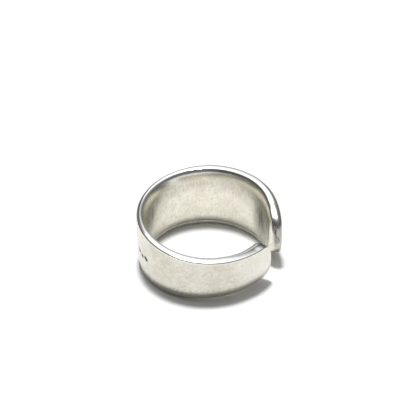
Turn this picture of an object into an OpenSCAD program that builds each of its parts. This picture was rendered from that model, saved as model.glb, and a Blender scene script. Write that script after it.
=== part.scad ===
// Spoon ring: one silver bar, the tapered handle of a spoon, bent round a finger-sized bore
// so that its broad tip and its narrow tip almost meet. It lies on its side, as it rests
// by itself on a flat surface, with the gap between the tips at the right front.
// Angles run round the ring from the right (+X) through the back (+Y), in degrees.

/* [Ring] */
// Inner diameter, where the finger goes
bore_d = 17.3; // [15:0.1:21]
// Mean thickness of the bar
wall = 1.8; // [1.6:0.05:2.2]
// How far the bore is off the ring's centre, so the bar is thicker on one side
bore_off = 0.35; // [0:0.01:0.4]
// Side towards which the bore is off centre, where the bar is thinnest
bore_off_at = 212; // [0:1:359]

/* [Band] */
// Width of the band where it is broadest
broad_w = 10.5; // [8:0.1:13]
// Width of the band just before its narrow tip
narrow_w = 5.3; // [4:0.1:8]
// Depth of metal over which the lower outer edge is eased
outer_ease_deep = 0.45; // [0.1:0.05:0.5]
// Width of band over which it is eased
outer_ease_wide = 1.0; // [0.1:0.05:1.2]
// Depth of metal over which the softer inner edge is eased
inner_ease_deep = 0.45; // [0.2:0.05:0.6]
// Width of band over which the inner edge is eased
inner_ease_wide = 1.1; // [0.4:0.05:1.2]

/* [Broad tip] */
// Angle at which the broad tip ends
broad_tip_at = -11.6; // [-14:0.1:-6]
// Length over which the broad tip is rounded off
broad_tip_len = 2.2; // [1.5:0.1:4]
// How square its corners are: 2 makes it half an ellipse, and more makes it squarer
broad_tip_square = 2.8; // [2:0.1:4]
// How far the point of the broad tip is below the middle of the band
broad_tip_drop = -0.2; // [-1:0.1:1]
// How far the broad tip stands out of the ring's circle
broad_tip_out = 0.7; // [0:0.05:1.2]
// How far its inner face stands out of the bore's circle
broad_tip_in = 0.9; // [0.4:0.05:1.2]
// Lean of the broad tip, its upper corner out and its lower corner in
broad_tip_lean = 2.0; // [-3:0.1:3]

/* [Narrow tip] */
// Angle at which the narrow tip ends
narrow_tip_at = 330.4; // [318:0.1:336]
// Length over which the narrow tip is rounded off
narrow_tip_len = 2.0; // [1.5:0.1:4]
// How square its corners are, as for the broad tip
narrow_tip_square = 2.4; // [2:0.1:4]
// How far the point of the narrow tip is below the middle of the band
narrow_tip_drop = 0.6; // [-1:0.1:1.2]
// How far the narrow tip stands out of the ring's circle
narrow_tip_out = 0.35; // [0:0.05:0.6]

/* [Rest] */
// How far the back of the ring is tipped up when it rests on its lower edge
back_up = 3.66; // [0:0.01:5]
// How far its right side is tipped up
right_up = 0.41; // [-3:0.01:3]

/* [Detail] */
// Sections along the band
sections = 64; // [32:2:96]
// Facets in each rounded edge
edge_facets = 4; // [3:1:6]

/* [Hidden] */
ring_r = bore_d / 2 + wall;
bend_at_broad = 70;      // angle at which the band starts to straighten into its broad tip
bend_at_narrow = 290;    // and into its narrow tip
bore_cut = 0.05;         // metal left inside the bore's circle, which the bore then cuts away
tips_parted_at = 160;    // angle that parts the broad tip's stretch from the narrow tip's
ease_blend = 0.4;        // share of the half width, up and down, where one easing becomes the other

// Columns: angle round the ring, share of the way from narrow_w to broad_w, and how far the
// lower edge reaches below its half of that width
WIDTHS = [
    [-15, 0.14, 0.00],
    [  2, 0.41, 0.00],
    [ 11, 0.70, 0.00],
    [ 20, 0.89, 0.00],
    [ 32, 0.99, 0.00],
    [ 45, 1.03, 0.00],
    [ 90, 1.00, 0.00],
    [150, 0.88, 0.00],
    [210, 0.71, 0.00],
    [270, 0.315, 0.30],
    [325, 0.07, 0.35],
    [340, 0.00, 0.35]
];

// Columns: angle round the ring, how deep and how wide the upper outer edge is eased there,
// and how far the rim between the eased edges stands up at its middle
UPPER_EASE = [
    [-15, 1.00, 0.45, 0.20],
    [  0, 0.90, 0.45, 0.20],
    [ 25, 0.65, 0.40, 0.28],
    [ 60, 0.45, 0.40, 0.30],
    [150, 0.45, 0.40, 0.28],
    [200, 0.36, 0.34, 0.20],
    [235, 0.22, 0.22, 0.15],
    [340, 0.20, 0.20, 0.12]
];

function clamp01(x) = min(1, max(0, x));

// Slope of a table's column at row i
function row_slope(table, column, i) =
    let (a = max(0, i - 1), b = min(len(table) - 1, i + 1))
    (table[b][column] - table[a][column]) / (table[b][0] - table[a][0]);

// A table's column at an angle, on a smooth curve through its rows
function at_angle(table, column, angle, i = 0) =
    (i < len(table) - 2 && angle > table[i + 1][0]) ? at_angle(table, column, angle, i + 1) :
    let (
        step = table[i + 1][0] - table[i][0],
        u = (angle - table[i][0]) / step
    )
    (2 * pow(u, 3) - 3 * pow(u, 2) + 1) * table[i][column]
    + (pow(u, 3) - 2 * pow(u, 2) + u) * step * row_slope(table, column, i)
    + (3 * pow(u, 2) - 2 * pow(u, 3)) * table[i + 1][column]
    + (pow(u, 3) - pow(u, 2)) * step * row_slope(table, column, i + 1);

function half_width(angle) =
    (narrow_w + (broad_w - narrow_w) * at_angle(WIDTHS, 1, angle)) / 2;

// Share of the full width that is left at a distance from a tip's end: a quarter ellipse, or
// a squarer curve of the same kind
function tip_share(distance, tip_len, square) =
    pow(1 - pow(1 - clamp01(distance / tip_len), square), 1 / square);

// Length of band from the ring's right to an angle, measured on the outer circle
function arc(angle) = angle * PI / 180 * ring_r;

// Height of the band's upper (side 1) or lower (side -1) edge at an angle
function edge_z(angle, side) =
    let (
        near_broad = angle < tips_parted_at,
        drop = near_broad ? broad_tip_drop : narrow_tip_drop,
        share = near_broad ?
            tip_share(arc(angle - broad_tip_at), broad_tip_len, broad_tip_square) :
            tip_share(arc(narrow_tip_at - angle), narrow_tip_len, narrow_tip_square),
        lower_reach = side < 0 ? at_angle(WIDTHS, 2, angle) : 0
    )
    -drop + (side * half_width(angle) + drop - lower_reach) * share;

// Shares of the way through the bend at each tip, 0 along the round part and 1 at the end
function broad_bend(angle) = clamp01((bend_at_broad - angle) / (bend_at_broad - broad_tip_at));
function narrow_bend(angle) =
    clamp01((angle - bend_at_narrow) / (narrow_tip_at - bend_at_narrow));

// Radius of the outer face, and of the inner face before the bore is cut
function outer_r(angle) =
    ring_r + broad_tip_out * pow(broad_bend(angle), 2)
    + narrow_tip_out * pow(narrow_bend(angle), 2);
function inner_r(angle) =
    let (
        along = bore_off * cos(angle - bore_off_at),
        across = bore_off * sin(angle - bore_off_at)
    )
    along + sqrt(pow(bore_d / 2, 2) - pow(across, 2)) - bore_cut
    + broad_tip_in * pow(broad_bend(angle), 2);

// The band's edge seen flat: [length along the band, height], from the broad tip along the
// upper edge to the narrow tip and back along the lower edge. Sections crowd at the tips.
EDGE_COUNT = 2 * sections;
function section_of(j) = j <= sections ? j : EDGE_COUNT - j;
function section_angle(i) =
    broad_tip_at + (narrow_tip_at - broad_tip_at) * (1 - cos(180 * i / sections)) / 2;
EDGE = [
    for (j = [0 : EDGE_COUNT - 1])
        let (angle = section_angle(section_of(j)))
        [arc(angle), edge_z(angle, j <= sections ? 1 : -1)]
];

// Direction into the metal at point j of the edge
function into_metal(j) =
    let (
        ahead = EDGE[(j + 1) % EDGE_COUNT],
        behind = EDGE[(j + EDGE_COUNT - 1) % EDGE_COUNT],
        run = ahead - behind
    )
    [run[1], -run[0]] / norm(run);

// Share of the way from the lower edge's easing to the upper edge's, at point p of the edge
function upper_share(p) =
    let (u = clamp01((1 + p[1] / half_width(p[0] / arc(1)) / ease_blend) / 2))
    u * u * (3 - 2 * u);

// Turn of the surface across each eased edge: 90 where it meets the outer or the inner face,
// 0 where it meets the rim between them
OUTER_TURNS = [for (k = [0 : edge_facets]) 90 - 90 * k / edge_facets];
INNER_TURNS = [for (k = [0 : edge_facets + 1]) 90 * k / (edge_facets + 1)];
SECTION_POINTS = len(OUTER_TURNS) + 1 + len(INNER_TURNS);

// Steps across the edge at its point p, from the outer face to the inner face: how far in
// from the edge, how deep in the metal, and 0 on the outer side or 1 on the inner side
function edge_steps(p) =
    let (
        share = upper_share(p),
        angle = p[0] / arc(1),
        deep = outer_ease_deep + (at_angle(UPPER_EASE, 1, angle) - outer_ease_deep) * share,
        wide = outer_ease_wide + (at_angle(UPPER_EASE, 2, angle) - outer_ease_wide) * share,
        crown = at_angle(UPPER_EASE, 3, angle),
        steps = concat(
            [for (turn = OUTER_TURNS) [wide * (1 - cos(turn)), deep * (1 - sin(turn)), 0]],
            [[0, wall / 2, 0]],
            [for (turn = INNER_TURNS)
                [inner_ease_wide * (1 - cos(turn)), wall - inner_ease_deep * (1 - sin(turn)), 1]]
        )
    )
    [for (s = steps) [s[0] + crown * pow(2 * s[1] / wall - 1, 2), s[1], s[2]]];

// A point p of the flat band, [length, height], bent round to radius r, with the tip's lean
function bent(p, angle, r) =
    let (leaning_r = r + p[1] * tan(broad_tip_lean) * pow(broad_bend(angle), 2))
    [leaning_r * cos(angle), leaning_r * sin(angle), p[1]];

// The points across the edge at its point j, from the outer face to the inner face
function edge_section(j) =
    let (p = EDGE[j], inwards = into_metal(j))
    [for (s = edge_steps(p))
        let (q = p + inwards * s[0], angle = q[0] / arc(1))
        bent(q, angle, s[2] == 0 ? outer_r(angle) - s[1] : inner_r(angle) + wall - s[1])];

RING = [for (j = [0 : EDGE_COUNT - 1]) each edge_section(j)];

// The ring tipped from its own axis to how it lies, and the move that seats it on the floor
function tip_right(p) = [
    p[0] * cos(right_up) - p[2] * sin(right_up),
    p[1],
    p[0] * sin(right_up) + p[2] * cos(right_up)
];
function tip_back(p) = [
    p[0],
    p[1] * cos(back_up) - p[2] * sin(back_up),
    p[1] * sin(back_up) + p[2] * cos(back_up)
];
TIPPED = [for (p = RING) tip_back(tip_right(p))];
LOW = [for (axis = [0 : 2]) min([for (p = TIPPED) p[axis]])];
HIGH = [for (axis = [0 : 2]) max([for (p = TIPPED) p[axis]])];
SEAT = [-(LOW[0] + HIGH[0]) / 2, -(LOW[1] + HIGH[1]) / 2, -LOW[2]];

function corner(j, k) = (j % EDGE_COUNT) * SECTION_POINTS + k;

// Two triangles that fill a four-sided patch
function patch(a, b, c, d) = [[a, b, c], [a, c, d]];

EDGE_FACES = [
    for (j = [0 : EDGE_COUNT - 1], k = [0 : SECTION_POINTS - 2])
        each patch(corner(j, k), corner(j, k + 1), corner(j + 1, k + 1), corner(j + 1, k))
];

// A face of the band between its upper and lower edges, with k its row of points
function band_face(k) = concat(
    [[corner(0, k), corner(1, k), corner(EDGE_COUNT - 1, k)]],
    [for (i = [1 : sections - 2])
        each patch(corner(i, k), corner(i + 1, k),
                   corner(EDGE_COUNT - i - 1, k), corner(EDGE_COUNT - i, k))],
    [[corner(sections - 1, k), corner(sections, k), corner(sections + 1, k)]]
);
function turned(faces) = [for (f = faces) [f[2], f[1], f[0]]];

module tipped_to_rest() {
    translate(SEAT)
        rotate([back_up, 0, 0])
            rotate([0, -right_up, 0])
                children();
}

// The bent bar, with its bore cut true
module band() {
    color("silver")
        tipped_to_rest()
            difference() {
                polyhedron(
                    points = RING,
                    faces = concat(EDGE_FACES, band_face(0), turned(band_face(SECTION_POINTS - 1)))
                );
                translate([bore_off * cos(bore_off_at), bore_off * sin(bore_off_at), -broad_w])
                    cylinder(d = bore_d, h = 2 * broad_w, $fn = 128);
            }
}

band();
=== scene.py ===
import math
from functools import partial

import bpy
from mathutils import Matrix, Vector


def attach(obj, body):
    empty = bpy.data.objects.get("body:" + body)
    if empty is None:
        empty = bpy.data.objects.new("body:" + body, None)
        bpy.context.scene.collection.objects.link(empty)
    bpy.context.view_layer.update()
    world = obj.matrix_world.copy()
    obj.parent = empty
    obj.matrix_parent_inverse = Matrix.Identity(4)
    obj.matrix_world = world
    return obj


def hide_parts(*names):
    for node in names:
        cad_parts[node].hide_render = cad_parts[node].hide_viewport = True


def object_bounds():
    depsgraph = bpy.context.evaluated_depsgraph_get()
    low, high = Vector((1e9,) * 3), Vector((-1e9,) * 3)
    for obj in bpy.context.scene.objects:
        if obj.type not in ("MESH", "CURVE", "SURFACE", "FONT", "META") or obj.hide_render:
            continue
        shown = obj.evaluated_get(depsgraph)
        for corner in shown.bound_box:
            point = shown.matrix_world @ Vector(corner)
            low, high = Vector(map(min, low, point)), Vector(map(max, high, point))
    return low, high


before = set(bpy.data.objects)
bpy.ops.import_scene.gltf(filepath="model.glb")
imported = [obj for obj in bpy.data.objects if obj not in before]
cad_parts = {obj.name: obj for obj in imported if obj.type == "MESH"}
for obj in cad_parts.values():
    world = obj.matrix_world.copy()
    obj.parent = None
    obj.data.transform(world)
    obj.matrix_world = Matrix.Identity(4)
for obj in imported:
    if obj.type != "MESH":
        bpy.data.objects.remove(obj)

cad_low, cad_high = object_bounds()
scene = bpy.context.scene

# The camera. The photo was taken from in front and above with a long lens, held a little
# out of level. It looks at a point on the table behind the ring, so the ring is below centre.
mm = 0.001
camera_height = math.radians(36.28)
camera_roll = math.radians(1.49)
camera_distance = 260 * mm
looked_at = Vector((-0.08, 13.11, 0.0)) * mm

level_right = Vector((1, 0, 0))
level_up = Vector((0, math.sin(camera_height), math.cos(camera_height)))
towards_camera = Vector((0, -math.cos(camera_height), math.sin(camera_height)))
camera_right = math.cos(camera_roll) * level_right - math.sin(camera_roll) * level_up
camera_up = math.sin(camera_roll) * level_right + math.cos(camera_roll) * level_up
camera_turn = Matrix((camera_right, camera_up, towards_camera)).transposed().to_4x4()
camera_place = Matrix.Translation(looked_at + camera_distance * towards_camera)

camera_data = bpy.data.cameras.new("camera")
camera_data.lens = 143.84
camera_data.sensor_width = 36
camera_data.clip_start = 0.01
camera = bpy.data.objects.new("camera", camera_data)
camera.matrix_world = camera_place @ camera_turn
scene.collection.objects.link(camera)
scene.camera = camera

# The flat bar. The real one is the tapered handle of a silver spoon, sawn off, and its two
# ends are filed round. It lies here as on the bench before it is bent: x along it from the
# ring's right side, z across it, and y straight out of its outer face.
bore_radius = 8.65 * mm
bar_thick = 1.8 * mm
ring_radius = bore_radius + bar_thick
broad_width = 10.49 * mm
narrow_width = 5.3 * mm
broad_tip_at = math.radians(-11.6)
broad_tip_length = 2.2 * mm
broad_tip_square = 2.8
broad_tip_drop = -0.2 * mm
narrow_tip_at = math.radians(330.4)
narrow_tip_length = 2.0 * mm
narrow_tip_square = 2.4
narrow_tip_drop = 0.6 * mm
tips_parted_at = math.radians(160)

# Columns: degrees round the ring, share of the way from the narrow width to the broad one, and
# how far in mm the lower edge reaches below its half of that width
widths = [
    (-15, 0.14, 0.00), (2, 0.41, 0.00), (11, 0.70, 0.00), (20, 0.89, 0.00),
    (32, 0.99, 0.00), (45, 1.03, 0.00), (90, 1.00, 0.00), (150, 0.88, 0.00),
    (210, 0.71, 0.00), (270, 0.315, 0.30), (325, 0.07, 0.35), (340, 0.00, 0.35),
]


def held(value):
    """A value held between 0 and 1."""
    return min(1, max(0, value))


def grown(value, start, full):
    """0 at start, growing evenly to 1 at full, which may be above or below it."""
    return held((value - start) / (full - start))


def mixed(first, second, share):
    return first + (second - first) * share


def smooth_row(table, degrees, column):
    """A table's column at an angle, on a smooth curve through its rows."""
    row = max(0, min(len(table) - 2, sum(degrees > line[0] for line in table) - 1))

    def slope(i):
        before = table[max(0, i - 1)]
        after = table[min(len(table) - 1, i + 1)]
        return (after[column] - before[column]) / (after[0] - before[0])

    step = table[row + 1][0] - table[row][0]
    u = (degrees - table[row][0]) / step
    return (
        (2 * u**3 - 3 * u**2 + 1) * table[row][column]
        + (u**3 - 2 * u**2 + u) * step * slope(row)
        + (3 * u**2 - 2 * u**3) * table[row + 1][column]
        + (u**3 - u**2) * step * slope(row + 1)
    )


def half_width(angle):
    share = smooth_row(widths, math.degrees(angle), 1)
    return mixed(narrow_width, broad_width, share) / 2


def edge_height(angle, side):
    """Height of the bar's upper (side 1) or lower (side -1) edge, rounded off at both tips."""
    if angle < tips_parted_at:
        drop = broad_tip_drop
        square = broad_tip_square
        left = (angle - broad_tip_at) * ring_radius / broad_tip_length
    else:
        drop = narrow_tip_drop
        square = narrow_tip_square
        left = (narrow_tip_at - angle) * ring_radius / narrow_tip_length
    share = (1 - (1 - held(left)) ** square) ** (1 / square)
    lower_reach = smooth_row(widths, math.degrees(angle), 2) * mm if side < 0 else 0
    return -drop + (side * half_width(angle) + drop - lower_reach) * share


# The bar's outline. Its stations crowd at the tips, and stand evenly where marks are struck
stations = 360
mark_stations = 80
marks_from = math.radians(193)
marks_to = math.radians(214)
angles = [
    mixed(broad_tip_at, narrow_tip_at, (1 - math.cos(math.pi * i / stations)) / 2)
    for i in range(stations + 1)
]
angles = sorted(
    [angle for angle in angles if not marks_from < angle < marks_to]
    + [mixed(marks_from, marks_to, i / mark_stations) for i in range(mark_stations + 1)]
)
last = len(angles) - 1
outline_count = 2 * last
outline = []
for j in range(outline_count):
    upper = j <= last
    angle = angles[j] if upper else angles[outline_count - j]
    outline.append(Vector((angle * ring_radius, edge_height(angle, 1 if upper else -1))))

# The faces' wear. A spoon's handle is faintly crowned across both faces, most where it is
# broad, and the finished ring's outer face is worn away towards the edge that it lies on.
outer_crown = 0.14 * mm
inner_crown = 0.25 * mm
crown_power = 4
lower_fall = 0.29 * mm
lower_fall_from = 1.9 * mm
broad_tip_slant = 0.15
broad_tip_matt = 0.75
broad_tip_matt_side = (0.3, 0.8)
broad_tip_reach = 3.0 * mm


def crowned(along, across):
    """Share of the crown by which the faces fall away at a place."""
    angle = along / ring_radius
    share = smooth_row(widths, math.degrees(angle), 1)
    return share ** 2 * held(abs(across) / half_width(angle)) ** crown_power


def rolled_under(along, across):
    """How far the outer face is worn away towards the ring's lower edge."""
    angle = along / ring_radius
    tip_distance = ring_radius * min(angle - broad_tip_at, narrow_tip_at - angle)
    rise = across - edge_height(angle, -1)
    return lower_fall * held(tip_distance / lower_fall_from) * held(1 - rise / lower_fall_from) ** 2


# The darkened places: darker streaks inside, and painted reflections: a darker band below the
# inner face's upper edge, the floor shadow above the outer face's lower edge, darker patches on
# the polished rim and eased edges by both tips, and the broad tip's sawn end.

# Columns: degrees round the ring and height in mm of a streak's middle, half its length and
# half its height in mm, and how dark it is
streaks = [
    (19, -0.5, 3.2, 4.4, 0.62), (21, 0.4, 1.1, 2.6, 0.24),
    (155, 1.2, 0.7, 1.6, 0.38), (162, 0.2, 1.6, 3.0, 0.22),
]
# A painted darker reflection in a band below the inner face's upper edge, round the back
upper_reflection_dark = 0.20
upper_reflection_at = 2.4 * mm
upper_reflection_half = 1.4 * mm
upper_reflection_begins = (20, 45)
upper_reflection_ends = (170, 145)
# A painted reflection of the ring's shadow on the floor: a darker band above the outer face's lower edge
shadow_reflection_dark = 0.32
shadow_reflection_at = 0.95 * mm
shadow_reflection_half = 0.55 * mm

# Columns: how dark, degrees round the ring where a painted darker reflection on the rim sets in
# and where it is full, and the same for the share of the way from the outer face to the inner one
narrow_rim_reflections = [
    (0.42, 285, 297, 0.00, 0.10),
    (0.30, 285, 297, 0.40, 0.70),
    (0.30, 300, 312, 0.10, 0.35),
]
other_rim_reflections = [
    (0.92, 318.5, 320.5, 0.00, 0.10),
    (0.45, 10, 2, 0.70, 0.50),
    (0.65, 205, 215, 0.78, 0.88),
]
# A painted darker reflection on the rim's left side
left_rim_reflection_dark = 0.40
left_rim_begins = (160, 172)
left_rim_ends = (212, 204)
bright_spot = 0.8
bright_spot_at = 316
bright_spot_half = 1.3
bright_spot_inwards = (0.75, 0.55)

# Painted darker reflections on the outer eased edge by both tips, placed by degrees and by its
# polish, which grows to the rim
broad_edge_reflection_dark = 0.55
broad_edge_degrees = (9, 1)
broad_edge_begins = (0.10, 0.25)
broad_edge_ends = (1.0, 0.9)
narrow_edge_reflection_dark = 0.92
narrow_edge_degrees = (318.5, 320.5)
narrow_edge_begins = (0.45, 0.75)

# The painted reflection on the broad tip's sawn end, lighter in its lower half and towards the
# inner face
sawn_end_reflection_dark = 0.42
sawn_end_begins = (0.75 * mm, 0.28 * mm)
sawn_end_upper = (0, 0.8 * mm)
sawn_end_lower_share = 0.55
sawn_end_outer = (0.75, 0.45)
sawn_end_inner_share = 0.25


def bell(distance, at, half):
    """1 at a distance, falling off softly on both sides of it."""
    return math.exp(-((distance - at) / half) ** 2)


def inner_streaks_and_reflection(degrees, along, across):
    """The darker streaks, and a painted darker reflection below the upper edge of the inner face."""
    dark = 0.0
    for at, height, half_long, half_high, strength in streaks:
        off = (along - math.radians(at) * ring_radius) / (half_long * mm)
        up = (across - height * mm) / (half_high * mm)
        dark += strength * max(0, 1 - off ** 2 - up ** 2)
    from_top = edge_height(along / ring_radius, 1) - across
    # Painted darker reflection in a band below the upper edge, round the back
    line = grown(degrees, *upper_reflection_begins) * grown(degrees, *upper_reflection_ends)
    return dark + upper_reflection_dark * line * bell(from_top, upper_reflection_at, upper_reflection_half)


def outer_reflection_dark(degrees, along, across, polish):
    """A painted reflection of the floor shadow above the lower edge of the outer face, and painted darker
    reflections on its eased edge round both tips.
    """
    from_bottom = across - edge_height(along / ring_radius, -1)
    # Painted reflection of the floor shadow, in a band above the lower edge
    dark = shadow_reflection_dark * bell(from_bottom, shadow_reflection_at, shadow_reflection_half)
    # Painted darker reflections on the polished eased edge by both tips
    broad_edge = grown(polish, *broad_edge_begins) * grown(polish, *broad_edge_ends)
    dark += broad_edge_reflection_dark * grown(degrees, *broad_edge_degrees) * broad_edge
    narrow_edge = grown(degrees, *narrow_edge_degrees) * grown(polish, *narrow_edge_begins)
    return max(dark, narrow_edge_reflection_dark * narrow_edge)


def rim_reflection_dark(degrees, inwards, polish):
    """The rim's painted darker reflections, only where it is polished, most of them by the narrow tip, with
    one small bright spot left.
    """
    dark = 0.0
    for strength, begins, full, inwards_begins, inwards_full in narrow_rim_reflections:
        dark += strength * grown(degrees, begins, full) * grown(inwards, inwards_begins, inwards_full)
    spot = grown(abs(degrees - bright_spot_at), 2 * bright_spot_half, bright_spot_half)
    dark *= 1 - bright_spot * spot * grown(inwards, *bright_spot_inwards)
    for strength, begins, full, inwards_begins, inwards_full in other_rim_reflections:
        here = grown(degrees, begins, full) * grown(inwards, inwards_begins, inwards_full)
        dark = max(dark, strength * here)
    left = grown(degrees, *left_rim_begins) * grown(degrees, *left_rim_ends)
    dark = max(dark, left_rim_reflection_dark * left)
    # Painted only where the rim is polished, since it stands for reflections
    return dark * grown(polish, 0, 1 / 3)


def sawn_end_reflection(along, across, side):
    """Painted reflection on the broad tip's sawn end, darkest in its upper half and towards its outer face.
    """
    from_end = along - broad_tip_at * ring_radius
    high = mixed(sawn_end_lower_share, 1, grown(across, *sawn_end_upper))
    outwards = mixed(sawn_end_inner_share, 1, grown(side, *sawn_end_outer))
    return sawn_end_reflection_dark * grown(from_end, *sawn_end_begins) * high * outwards


def darkening_and_reflection_at(along, across, side, polish):
    """How dark a place is made, by the darker streaks and the painted reflections. Side is 0 on the
    outer face, 1 on the inner one, and a share of the way between them on the rim."""
    degrees = math.degrees(along / ring_radius)
    if side == 1:
        dark = inner_streaks_and_reflection(degrees, along, across)
    elif side == 0:
        dark = outer_reflection_dark(degrees, along, across, polish)
    else:
        dark = rim_reflection_dark(degrees, side, polish)
    return max(dark, sawn_end_reflection(along, across, side))


points = []
inside = []
worn = []
darkening_and_reflections = []
bar_map = []
map_scale = 100


def add_point(along, across, depth, side, polish):
    """Adds a point at a depth below the outer face, and gives its number."""
    near_broad_tip = held(1 - (along - broad_tip_at * ring_radius) / broad_tip_reach)
    polish *= 1 - broad_tip_matt * grown(side, *broad_tip_matt_side) * near_broad_tip
    along += broad_tip_slant * near_broad_tip * (depth - bar_thick / 2)
    fall = crowned(along, across)
    outer_fall = outer_crown * fall + rolled_under(along, across)
    depth += (1 - side) * outer_fall - side * inner_crown * fall
    points.append((along, -depth, across))
    inside.append(side)
    worn.append(polish)
    darkening_and_reflections.append(darkening_and_reflection_at(along, across, side, polish))
    bar_map.append((along * map_scale, across * map_scale))
    return len(points) - 1


# The eased edges. A file and a polishing wheel round the edges of both faces, with a rim left
# between them. The upper rim stands up and shines, and the lower one keeps a thin lip inside.

# Columns: degrees round the ring, how deep and how wide the upper outer edge is eased, and how
# far the rim stands up at its middle, all in mm
upper_eased = [
    (-15, 1.00, 0.45, 0.20), (0, 0.90, 0.45, 0.20), (25, 0.65, 0.40, 0.28), (60, 0.45, 0.40, 0.30),
    (150, 0.45, 0.40, 0.28), (190, 0.36, 0.34, 0.20), (215, 0.18, 0.17, 0.15), (340, 0.12, 0.12, 0.12),
]
lower_ease_deep = 0.25 * mm
lower_ease_wide = 0.20 * mm
ease_blend = 0.8
inner_ease_deep = 0.42 * mm
inner_ease_wide = 1.13 * mm
lower_inner_deep = 0.16 * mm
lower_inner_wide = 0.60 * mm
broad_inner_ease = 0.95 * mm
narrow_rim_degrees = (285, 305)
narrow_rim_deeper = 0.40 * mm
narrow_rim_narrower = 0.45 * mm
lower_lip = 0.18 * mm
lip_at = 0.07 * mm
lip_half_wide = 0.065 * mm
least_polish = 0.1
outer_steps = 12
rim_steps = 6
inner_steps = 16


def smoothed(share):
    return share * share * (3 - 2 * share)


def eased_steps(place):
    """Steps over the eased edge at a place on the outline: how far in from it, how deep, how
    far towards the inner face, and how polished."""
    angle = place.x / ring_radius
    degrees = math.degrees(angle)
    upper = smoothed(held(0.5 + place.y / half_width(angle) / ease_blend))
    deep = mixed(lower_ease_deep, smooth_row(upper_eased, degrees, 1) * mm, upper)
    wide = mixed(lower_ease_wide, smooth_row(upper_eased, degrees, 2) * mm, upper)
    rim_crown = smooth_row(upper_eased, degrees, 3) * mm
    near_narrow = upper * grown(degrees, *narrow_rim_degrees)
    inner_wide = mixed(lower_inner_wide, inner_ease_wide, upper)
    inner_wide += broad_inner_ease * upper * smooth_row(widths, degrees, 1) ** 2
    inner_wide -= narrow_rim_narrower * near_narrow
    inner_deep = mixed(lower_inner_deep, inner_ease_deep, upper) + narrow_rim_deeper * near_narrow
    rim_to = bar_thick - inner_deep

    steps = []
    for k in range(outer_steps + 1):
        turn = math.radians(90 - 90 * k / outer_steps)
        polish = upper * mixed(least_polish, 1, (k / outer_steps) ** 2)
        steps.append((wide * (1 - math.cos(turn)), deep * (1 - math.sin(turn)), 0.0, polish))
    for k in range(1, rim_steps):
        steps.append((0.0, mixed(deep, rim_to, k / rim_steps), k / rim_steps, upper))
    for k in range(inner_steps + 1):
        turn = math.radians(90 * k / inner_steps)
        inset = inner_wide * (1 - math.cos(turn))
        depth = bar_thick - inner_deep * (1 - math.sin(turn))
        steps.append((inset, depth, 1.0, upper * (1 - k / inner_steps)))

    shaped = []
    for inset, depth, side, polish in steps:
        lip = lower_lip * (1 - upper) * bell(inset, lip_at, lip_half_wide) if side == 1 else 0.0
        falls_back = rim_crown * (depth / (bar_thick / 2) - 1) ** 2
        shaped.append((inset + falls_back, depth + lip, side, polish))
    return shaped


rings = []
for j in range(outline_count):
    run = outline[(j + 1) % outline_count] - outline[j - 1]
    inwards = Vector((run.y, -run.x)).normalized()
    rings.append([
        add_point(*(outline[j] + inwards * inset), depth, side, polish)
        for inset, depth, side, polish in eased_steps(outline[j])
    ])
step_count = len(rings[0])

faces = []
for j in range(outline_count):
    here = rings[j]
    ahead = rings[(j + 1) % outline_count]
    for k in range(step_count - 1):
        faces.append((here[k], here[k + 1], ahead[k + 1], ahead[k]))

# The punch marks. Two dots and a short bar, which mean nothing, are struck in a row into the
# outer face with a round punch, low on the ring's left, while the bar is still flat.
mark_depth = 0.09 * mm
mark_half_wide = 0.42 * mm
mark_slope = 0.6
mark_dark = 1.8
mark_rows = 32
mark_rows_from = 0.42
mark_rows_to = 0.63

# Both ends of each mark's middle line, in degrees round the ring and mm of height
marks = [
    ((197.2, 0.02), (197.8, -0.02)),
    ((203.3, -0.20), (203.7, -0.20)),
    ((208.9, 0.08), (210.7, 0.0)),
]


def struck(place):
    """How deep the outer face is struck at a place on the bar."""
    reach = 0.0
    for ends in marks:
        start, end = [
            Vector((math.radians(degrees) * ring_radius, height * mm)) for degrees, height in ends
        ]
        share = held((place - start).dot(end - start) / (end - start).length_squared)
        reach = max(reach, 1 - (place - start - share * (end - start)).length / mark_half_wide)
    return mark_depth * smoothed(held(reach / mark_slope))


# The two faces. Rows of points join the eased edges across the bar, closer together where
# the marks are struck. The outer one is rubbed along its upper edge and by the narrow tip.
edge_polish = 0.4
edge_wear = 0.4 * mm
rubbed_polish = 0.24
rubbed_degrees = (290, 315)
face_row_count = 28
row_clearance = 0.005


def outer_polish(degrees, share, distance):
    """How polished the outer face is at a share of its height from the upper edge."""
    by_edge = edge_polish * held(1 - distance / edge_wear) ** 2 if share < 0.5 else 0.0
    return max(by_edge, rubbed_polish * grown(degrees, *rubbed_degrees))


def face_rows(k, shares, outer):
    """The face of the bar between its upper and lower edge, from step k of the eased edges."""
    side = 0.0 if outer else 1.0
    before = [rings[0][k]]
    for i in range(1, last + 1):
        now = [rings[i][k]]
        if i < last:
            lower = rings[outline_count - i][k]
            top = Vector((points[now[0]][0], points[now[0]][2]))
            bottom = Vector((points[lower][0], points[lower][2]))
            for share in shares:
                place = top + (bottom - top) * share
                distance = min(share, 1 - share) * (top - bottom).length
                polish = outer_polish(math.degrees(angles[i]), share, distance) if outer else 0.0
                depth = struck(place) if outer else bar_thick
                now.append(add_point(place.x, place.y, depth, side, polish))
            now.append(lower)
        if len(before) == 1:
            patches = [(before[0], now[m], now[m + 1]) for m in range(len(now) - 1)]
        elif len(now) == 1:
            patches = [(before[m], now[0], before[m + 1]) for m in range(len(before) - 1)]
        else:
            patches = [(before[m], now[m], now[m + 1], before[m + 1]) for m in range(len(now) - 1)]
        faces.extend(patches if outer else [patch[::-1] for patch in patches])
        before = now


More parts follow.
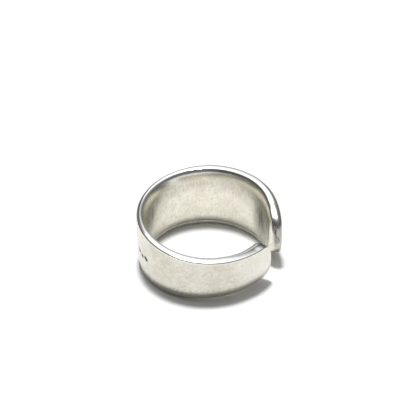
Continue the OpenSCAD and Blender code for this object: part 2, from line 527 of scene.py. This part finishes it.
even_shares = [(1 - math.cos(math.pi * m / face_row_count)) / 2 for m in range(1, face_row_count)]
mark_shares = [mixed(mark_rows_from, mark_rows_to, m / mark_rows) for m in range(mark_rows + 1)]
outer_shares = sorted(mark_shares + [
    share for share in even_shares
    if not mark_rows_from - row_clearance < share < mark_rows_to + row_clearance
])
face_rows(0, outer_shares, outer=True)
face_rows(step_count - 1, even_shares, outer=False)

for i, (along, _, across) in enumerate(points):
    if inside[i] == 0:
        mark = struck(Vector((along, across))) / mark_depth
        darkening_and_reflections[i] = max(darkening_and_reflections[i], held(mark_dark * mark))

bar_mesh = bpy.data.meshes.new("silver_band")
bar_mesh.from_pydata(points, [], faces)
for name, values in (("inside", inside), ("worn", worn), ("darkening_and_reflections", darkening_and_reflections)):
    attribute = bar_mesh.attributes.new(name, "FLOAT", "POINT")
    attribute.data.foreach_set("value", values)
layer = bar_mesh.uv_layers.new(name="bar")
for loop in bar_mesh.loops:
    layer.data[loop.index].uv = bar_map[loop.vertex_index]
bar = bpy.data.objects.new("flat_bar", bar_mesh)
scene.collection.objects.link(bar)

# The silver. Sterling, satin from the bench, with faces full of fine scratches and faint warm
# tarnish, and with its rim and eased edges worn bright.
warm_silver = (0.85, 0.825, 0.735)
tarnished_silver = (0.76, 0.725, 0.63)
polished_silver = (0.90, 0.90, 0.885)
outer_tint = (0.855, 0.86, 0.865)
scratch_tint = (0.80, 0.79, 0.76)
darkening_and_reflection_tint = (0.16, 0.155, 0.15)
outer_uprights = 0.25
blotch_strength = 0.80
polish_hides = 0.85
satin_rough = 0.15
satin_rough_by_grain = 0.19
polished_rough = 0.09
polished_rough_by_scratches = 0.08
darkening_and_reflections_rougher = 0.30
grain_relief = 0.010 * mm
scratch_relief = 0.009 * mm

silver = bpy.data.materials.new("sterling_silver")
silver.use_nodes = True
silver_tree = silver.node_tree
shader = silver_tree.nodes["Principled BSDF"]
shader.inputs["Metallic"].default_value = 1.0


def new_node(tree, kind, inputs=(), **settings):
    """A node of a tree. Inputs are (socket name or number, value or another node's output)."""
    node = tree.nodes.new(kind)
    for key, value in settings.items():
        setattr(node, key, value)
    for key, value in inputs:
        if hasattr(value, "links"):
            tree.links.new(value, node.inputs[key])
        else:
            node.inputs[key].default_value = value
    return node


def new_math(tree, operation, *values):
    return new_node(tree, "ShaderNodeMath", enumerate(values), operation=operation).outputs[0]


def new_colour_mix(tree, share, first, second, blend_type="MIX"):
    """Two colours mixed by share. They are sockets 6 and 7 of a Mix node, and 2 is the result."""
    sockets = [("Factor", share), (6, first), (7, second)]
    node = new_node(tree, "ShaderNodeMix", data_type="RGBA", blend_type=blend_type, inputs=sockets)
    return node.outputs[2]


silver_node = partial(new_node, silver_tree)
silver_math = partial(new_math, silver_tree)
silver_mix = partial(new_colour_mix, silver_tree)


def silver_noise(place, scale, detail, roughness):
    return silver_node("ShaderNodeTexNoise", [
        ("Vector", place),
        ("Scale", scale),
        ("Detail", detail),
        ("Roughness", roughness),
    ]).outputs["Fac"]


def brushed(along_scale, across_scale):
    """Fine lines, drawn out along one way of the bar."""
    along_bar = silver_node("ShaderNodeUVMap", uv_map="bar").outputs["UV"]
    stretched = silver_node("ShaderNodeMapping", [
        ("Vector", along_bar),
        ("Scale", (along_scale, across_scale, 1.0)),
    ])
    return silver_noise(stretched.outputs["Vector"], scale=3.0, detail=4.0, roughness=0.65)


def between(value, low, high):
    """0 below low, 1 above high."""
    return silver_node("ShaderNodeMapRange", [
        ("Value", value),
        ("From Min", low),
        ("From Max", high),
    ]).outputs["Result"]


def tinted(colour_in, share, tint):
    """A colour multiplied by a tint, by share."""
    return silver_mix(share, colour_in, (*tint, 1), blend_type="MULTIPLY")


on_ring = silver_node("ShaderNodeTexCoord").outputs["Object"]
grain = silver_noise(on_ring, scale=3400.0, detail=3.0, roughness=0.65)
mottle = silver_noise(on_ring, scale=900.0, detail=3.0, roughness=0.6)
clouds = silver_noise(on_ring, scale=230.0, detail=4.0, roughness=0.6)
scratches = brushed(1.2, 42.0)
uprights = brushed(24.0, 1.6)
worn_here = silver_node("ShaderNodeAttribute", attribute_name="worn").outputs["Fac"]
inside_here = silver_node("ShaderNodeAttribute", attribute_name="inside").outputs["Fac"]
darkening_and_reflections_here = silver_node("ShaderNodeAttribute", attribute_name="darkening_and_reflections").outputs["Fac"]
outside_here = silver_math("SUBTRACT", 1.0, inside_here)
matt = silver_math("MULTIPLY_ADD", worn_here, -polish_hides, 1.0)

# Columns: a pattern of the matt silver, where it sets in, where it is full, and its tint
matt_patterns = [
    (mottle, 0.42, 0.68, (0.93, 0.925, 0.91)),
    (grain, 0.40, 0.72, (0.80, 0.79, 0.77)),
    (grain, 0.69, 0.74, (0.45, 0.43, 0.40)),
]

# Its colour: clouds of tarnish, a cooler outer face, then mottling, grain, pits and upright
# marks where it is matt, the polish over them, and last the scratches, the darker streaks and
# the painted reflections
colour = silver_mix(between(clouds, 0.40, 0.70), (*warm_silver, 1), (*tarnished_silver, 1))
colour = tinted(colour, outside_here, outer_tint)
for pattern, begins, full, tint in matt_patterns:
    colour = tinted(colour, silver_math("MULTIPLY", matt, between(pattern, begins, full)), tint)
upright_share = silver_math("MULTIPLY_ADD", inside_here, 1 - outer_uprights, outer_uprights)
upright_marks = silver_math("MULTIPLY", between(uprights, 0.50, 0.75), upright_share)
colour = tinted(colour, silver_math("MULTIPLY", matt, upright_marks), scratch_tint)
colour = silver_mix(worn_here, colour, (*polished_silver, 1))
scratched = silver_math("MULTIPLY", matt, between(scratches, 0.60, 0.66))
colour = tinted(colour, scratched, scratch_tint)

# The darker streaks and painted reflections inside are broken up by the upright marks
blotches = silver_math("SUBTRACT", between(uprights, 0.38, 0.60), 0.5)
blotches = silver_math("MULTIPLY", silver_math("MULTIPLY", blotches, blotch_strength), inside_here)
blotched = silver_math("MULTIPLY_ADD", blotches, silver_math("POWER", matt, 4.0), 1.0)
darkening_and_reflection_share = silver_math("MINIMUM", silver_math("MULTIPLY", darkening_and_reflections_here, blotched), 1.0)
# The darker streaks and painted reflections darken the colour towards the dark tint
silver_tree.links.new(tinted(colour, darkening_and_reflection_share, darkening_and_reflection_tint), shader.inputs["Base Color"])

satin = silver_math("MULTIPLY_ADD", grain, satin_rough_by_grain, satin_rough)
bright = silver_math("MULTIPLY_ADD", scratches, polished_rough_by_scratches, polished_rough)
roughness = silver_node("ShaderNodeMix", [(0, worn_here), (2, satin), (3, bright)], data_type="FLOAT")
# Rougher where the darker streaks and painted reflections lie
rougher = silver_math("MULTIPLY_ADD", darkening_and_reflections_here, darkening_and_reflections_rougher, roughness.outputs[0])
silver_tree.links.new(rougher, shader.inputs["Roughness"])

grain_height = silver_math("MULTIPLY", grain, grain_relief)
scratch_height = silver_math("MULTIPLY", scratches, scratch_relief)
upright_height = silver_math("MULTIPLY", uprights, scratch_relief)
relief = silver_math("ADD", silver_math("ADD", scratch_height, grain_height), upright_height)
bump = silver_node("ShaderNodeBump", [
    ("Height", silver_math("MULTIPLY", relief, matt)),
    ("Strength", 1.0),
    ("Distance", 1.0),
])
silver_tree.links.new(bump.outputs["Normal"], shader.inputs["Normal"])

# The bend. The bar is hammered round a mandrel, which leaves its faces a little uneven, its
# broad tip springs out of the circle, and the finished ring lies tipped on its lower edge.
bending = bpy.data.node_groups.new("bend_bar_round", "GeometryNodeTree")
bending.interface.new_socket("Geometry", in_out="OUTPUT", socket_type="NodeSocketGeometry")
bending.interface.new_socket("Geometry", in_out="INPUT", socket_type="NodeSocketGeometry")
bend_values = {
    "Ring Radius": ring_radius,
    "Bore Radius": bore_radius,
    "Bar Thickness": bar_thick,
    "Bore Offset": 0.35 * mm,
    "Bore Offset At": math.radians(212),
    "Broad Tip At": broad_tip_at,
    "Broad Bend From": math.radians(70),
    "Broad Tip Out": 0.7 * mm,
    "Broad Tip In": 0.9 * mm,
    "Broad Tip Lean": math.tan(math.radians(2.0)),
    "Narrow Tip At": narrow_tip_at,
    "Narrow Bend From": math.radians(290),
    "Narrow Tip Out": 0.35 * mm,
    "Hammered": 0.03 * mm,
    "Back Up": math.radians(3.66),
    "Right Up": math.radians(0.41),
}
sockets = {}
for name in bend_values:
    sockets[name] = bending.interface.new_socket(name, in_out="INPUT", socket_type="NodeSocketFloat")
sockets["Silver"] = bending.interface.new_socket("Silver", in_out="INPUT", socket_type="NodeSocketMaterial")
given = bending.nodes.new("NodeGroupInput").outputs
step_node = partial(new_node, bending)
work = partial(new_math, bending)

position = step_node("GeometryNodeInputPosition").outputs[0]
flat = step_node("ShaderNodeSeparateXYZ", [(0, position)])
around = work("DIVIDE", flat.outputs["X"], given["Ring Radius"])
depth = work("MULTIPLY", flat.outputs["Y"], -1.0)
is_inside = step_node("GeometryNodeInputNamedAttribute", [("Name", "inside")], data_type="FLOAT").outputs[0]


def bend_share(start, end):
    """Squared share of the way from where a bend starts to the tip's end."""
    way = work("DIVIDE", work("SUBTRACT", around, start), work("SUBTRACT", end, start))
    past_start = work("MAXIMUM", way, 0.0)
    return work("MULTIPLY", past_start, past_start)


broad_bend = bend_share(given["Broad Bend From"], given["Broad Tip At"])
narrow_bend = bend_share(given["Narrow Bend From"], given["Narrow Tip At"])
outer = work("ADD", given["Ring Radius"], work("MULTIPLY", broad_bend, given["Broad Tip Out"]))
outer = work("ADD", outer, work("MULTIPLY", narrow_bend, given["Narrow Tip Out"]))

# The bore is round and off the ring's centre, which makes the band thinner on its left
off_by = work("SUBTRACT", around, given["Bore Offset At"])
off_along = work("MULTIPLY", given["Bore Offset"], work("COSINE", off_by))
off_across = work("MULTIPLY", given["Bore Offset"], work("SINE", off_by))
bore_squared = work("MULTIPLY", given["Bore Radius"], given["Bore Radius"])
reach_squared = work("SUBTRACT", bore_squared, work("MULTIPLY", off_across, off_across))
bore = work("ADD", off_along, work("SQRT", reach_squared))
inner = work("ADD", bore, work("MULTIPLY", broad_bend, given["Broad Tip In"]))

uneven = step_node("ShaderNodeTexNoise", [("Vector", position), ("Scale", 190.0), ("Detail", 1.5)])
dent = work("MULTIPLY", uneven.outputs[0], given["Hammered"])
from_outside = work("SUBTRACT", work("SUBTRACT", outer, depth), dent)
from_inside = work("ADD", work("ADD", inner, work("SUBTRACT", given["Bar Thickness"], depth)), dent)
outer_part = work("MULTIPLY", from_outside, work("SUBTRACT", 1.0, is_inside))
radius = work("ADD", outer_part, work("MULTIPLY", from_inside, is_inside))
leaning = work("MULTIPLY", work("MULTIPLY", flat.outputs["Z"], given["Broad Tip Lean"]), broad_bend)
radius = work("ADD", radius, leaning)

round_place = step_node("ShaderNodeCombineXYZ", [
    ("X", work("MULTIPLY", radius, work("COSINE", around))),
    ("Y", work("MULTIPLY", radius, work("SINE", around))),
    ("Z", flat.outputs["Z"]),
])
bent = step_node("GeometryNodeSetPosition", [
    ("Geometry", given["Geometry"]),
    ("Position", round_place.outputs[0]),
])
right_turn = step_node("ShaderNodeCombineXYZ", [("Y", work("MULTIPLY", given["Right Up"], -1.0))])
tipped_right = step_node("GeometryNodeTransform", [
    ("Geometry", bent.outputs[0]),
    ("Rotation", right_turn.outputs[0]),
])
back_turn = step_node("ShaderNodeCombineXYZ", [("X", given["Back Up"])])
at_rest = step_node("GeometryNodeTransform", [
    ("Geometry", tipped_right.outputs[0]),
    ("Rotation", back_turn.outputs[0]),
])
smooth = step_node("GeometryNodeSetShadeSmooth", [("Geometry", at_rest.outputs[0])])
real = step_node("GeometryNodeRealizeInstances", [("Geometry", smooth.outputs[0])])
finished = step_node("GeometryNodeSetMaterial", [
    ("Geometry", real.outputs[0]),
    ("Material", given["Silver"]),
])
bending.links.new(finished.outputs[0], bending.nodes.new("NodeGroupOutput").inputs[0])

bend = bar.modifiers.new("bend", "NODES")
bend.node_group = bending
for name, value in bend_values.items():
    bend[sockets[name].identifier] = value
bend[sockets["Silver"].identifier] = silver

depsgraph = bpy.context.evaluated_depsgraph_get()
band_mesh = bpy.data.meshes.new_from_object(bar.evaluated_get(depsgraph), depsgraph=depsgraph)
bar.modifiers.remove(bend)
bpy.data.objects.remove(bar)

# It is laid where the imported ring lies: over the same middle, a hair above the floor
floor_gap = 0.002 * mm
places = [vertex.co.copy() for vertex in band_mesh.vertices]
lie = Vector((0, 0, floor_gap - min(p.z for p in places)))
for axis in (0, 1):
    own_middle = (min(p[axis] for p in places) + max(p[axis] for p in places)) / 2
    lie[axis] = (cad_low[axis] + cad_high[axis]) / 2 - own_middle
band_mesh.transform(Matrix.Translation(lie))
band = bpy.data.objects.new("silver_band", band_mesh)
scene.collection.objects.link(band)
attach(band, "root")
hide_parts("band")

# The floor: a plain white table top, matt and far wider than the view, so that neither its
# edges nor a gloss show.
table = bpy.data.materials.new("table_white")
table.use_nodes = True
table_shader = table.node_tree.nodes["Principled BSDF"]
table_shader.inputs["Base Color"].default_value = (0.75, 0.75, 0.745, 1)
table_shader.inputs["Roughness"].default_value = 0.8
table_shader.inputs["Specular IOR Level"].default_value = 0.0
table_half = 1.5
table_corners = [
    (-table_half, -table_half, 0),
    (table_half, -table_half, 0),
    (table_half, table_half, 0),
    (-table_half, table_half, 0),
]
floor_mesh = bpy.data.meshes.new("floor")
floor_mesh.from_pydata(table_corners, [], [(0, 1, 2, 3)])
floor_mesh.materials.append(table)
floor = bpy.data.objects.new("floor", floor_mesh)
scene.collection.objects.link(floor)

# The lamp: round, almost overhead and a little to the back, and small enough to leave the
# ring a shadow with an edge.
lamp_place = Vector((-0.007, 0.047, 0.5))
lamp_data = bpy.data.lights.new("lamp", "AREA")
lamp_data.shape = "DISK"
lamp_data.size = 0.075
lamp_data.energy = 2.7
lamp = bpy.data.objects.new("lamp", lamp_data)
lamp.location = lamp_place
lamp.rotation_euler = lamp_place.to_track_quat("Z", "Y").to_euler()
scene.collection.objects.link(lamp)

# The room: pale, with a glow round the lamp that leans to the back and fades down the walls,
# a low pale strip behind the ring, and a dimmer left side.
glow_up = math.radians(76)
glow_right = math.radians(-20)
glow_white = (1.28, 1.30, 1.33)
backdrop_white = (0.95, 0.95, 0.95)
glow_edge = (0.865, 0.90)
left_dimmed = 0.45
left_edge = (0.1, 0.5)
strip_white = 0.30
strip_sides = (0.25, 0.50)
strip_foot = (0.12, 0.22)

# Columns: cosine of the angle from the glow's middle, and how bright the walls are there
wall_fading = [
    (0.0, 0.17), (0.29, 0.16), (0.464, 0.19), (0.68, 0.30), (0.743, 0.38), (0.80, 0.50), (0.855, 0.75),
]

world = bpy.data.worlds.new("room")
scene.world = world
world.use_nodes = True
room = world.node_tree
background = room.nodes["Background"]
room_node = partial(new_node, room)
room_math = partial(new_math, room)
room_mix = partial(new_colour_mix, room)


def room_step(value, low, high):
    """0 below low and 1 above high, with a soft step between."""
    return room_node("ShaderNodeMapRange", [
        (0, value),
        ("From Min", low),
        ("From Max", high),
    ], interpolation_type="SMOOTHSTEP").outputs[0]


def room_ramp(value, stops):
    """Grey brightness that follows a value through its stops."""
    ramp = room_node("ShaderNodeValToRGB", [(0, value)])
    while len(ramp.color_ramp.elements) < len(stops):
        ramp.color_ramp.elements.new(0.5)
    for element, (at, grey) in zip(ramp.color_ramp.elements, stops):
        element.position = at
        element.color = (grey, grey, grey, 1)
    return ramp.outputs[0]


sky_way = room_node("ShaderNodeTexCoord").outputs["Generated"]
way = room_node("ShaderNodeSeparateXYZ", [(0, sky_way)]).outputs
glow_way = (
    math.cos(glow_up) * math.sin(glow_right),
    math.cos(glow_up) * math.cos(glow_right),
    math.sin(glow_up),
)
facing_glow = room_node("ShaderNodeVectorMath", [(0, sky_way), (1, glow_way)], operation="DOT_PRODUCT")
from_glow = facing_glow.outputs["Value"]
leftwards = room_math("MULTIPLY", way["X"], -1.0)
left_dim = room_math("MULTIPLY", room_step(leftwards, *left_edge), left_dimmed)
fading = room_math("MULTIPLY", room_ramp(from_glow, wall_fading), room_math("SUBTRACT", 1.0, left_dim))
aside = room_math("DIVIDE", room_math("ABSOLUTE", way["X"]), room_math("MAXIMUM", way["Y"], 0.001))
strip = room_math("SUBTRACT", 1.0, room_step(aside, *strip_sides))
strip = room_math("MULTIPLY", strip, room_step(way["Z"], *strip_foot))
lit = room_math("ADD", fading, room_math("MULTIPLY", strip, strip_white))
walls = room_mix(room_step(from_glow, *glow_edge), lit, (*glow_white, 1))

# Behind the table the camera sees plain white, whatever the ring mirrors
from_camera = room_node("ShaderNodeLightPath").outputs["Is Camera Ray"]
seen = room_mix(from_camera, walls, (*backdrop_white, 1))
room.links.new(seen, background.inputs["Color"])
background.inputs["Strength"].default_value = 1.0
scene.view_settings.view_transform = "Standard"
